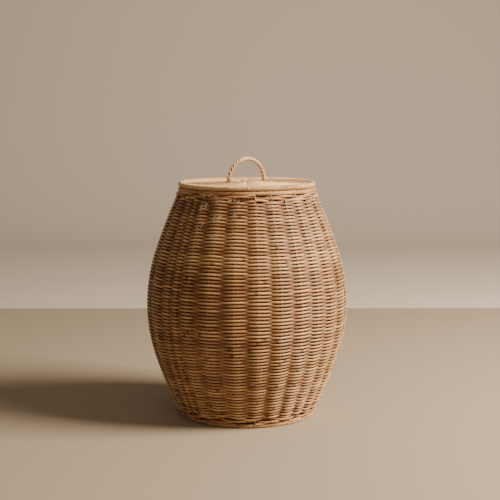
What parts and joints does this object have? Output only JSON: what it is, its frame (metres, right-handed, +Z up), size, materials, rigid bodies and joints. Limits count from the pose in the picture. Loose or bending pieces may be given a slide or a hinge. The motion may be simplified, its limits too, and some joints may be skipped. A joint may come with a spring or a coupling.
{
  "type": "laundry hamper with lid",
  "caption": "Round barrel-shaped laundry hamper of woven cane, with a flat lift-off lid, a wrapped lid rim and an arched handle on top.",
  "frame": {"origin": "on the floor under the centre of the base", "axes": "+Z up through the lid's centre; -Y is the front, and the handle is turned 38 degrees from X towards +Y"},
  "size_m": [0.5059, 0.5058, 0.6459],
  "materials": {
    "wall_weave": "woven natural cane, satin",
    "inner_weave": "woven natural cane, satin",
    "wale_cane": "natural cane, satin",
    "border_cane": "natural cane, satin",
    "stake_cane": "natural cane, satin",
    "base_weave": "woven natural cane, satin",
    "lid_weave": "woven pale cane, satin",
    "wrapping_cane": "pale split cane, satin",
    "handle_cane": "pale split cane, satin"
  },
  "bodies": {
    "basket": {"foot_border": "border_cane", "bottom_wale": "wale_cane", "side_stakes": "stake_cane", "outer_weave": "wall_weave", "inner_weave": "inner_weave", "top_wale": "wale_cane", "mouth_border": "border_cane", "base_hoop": "stake_cane", "base_split_sticks": "stake_cane", "base_through_sticks": "stake_cane", "base_upper_weave": "base_weave", "base_lower_weave": "base_weave"},
    "lid": {"lid_hoop": "stake_cane", "lid_rim_wrapping": "wrapping_cane", "lid_split_sticks": "stake_cane", "lid_through_sticks": "stake_cane", "lid_upper_weave": "lid_weave", "lid_lower_weave": "lid_weave", "locating_ring": "stake_cane", "ring_lashings": "wrapping_cane", "handle_core": "handle_cane", "handle_wrapping": "handle_cane", "handle_lashings": "wrapping_cane"}
  },
  "joints": [
    {"name": "lid_lift", "type": "slide", "parent": "basket", "child": "lid", "axis": [0, 0, 1], "range_m": [0, 0.2]}
  ]
}
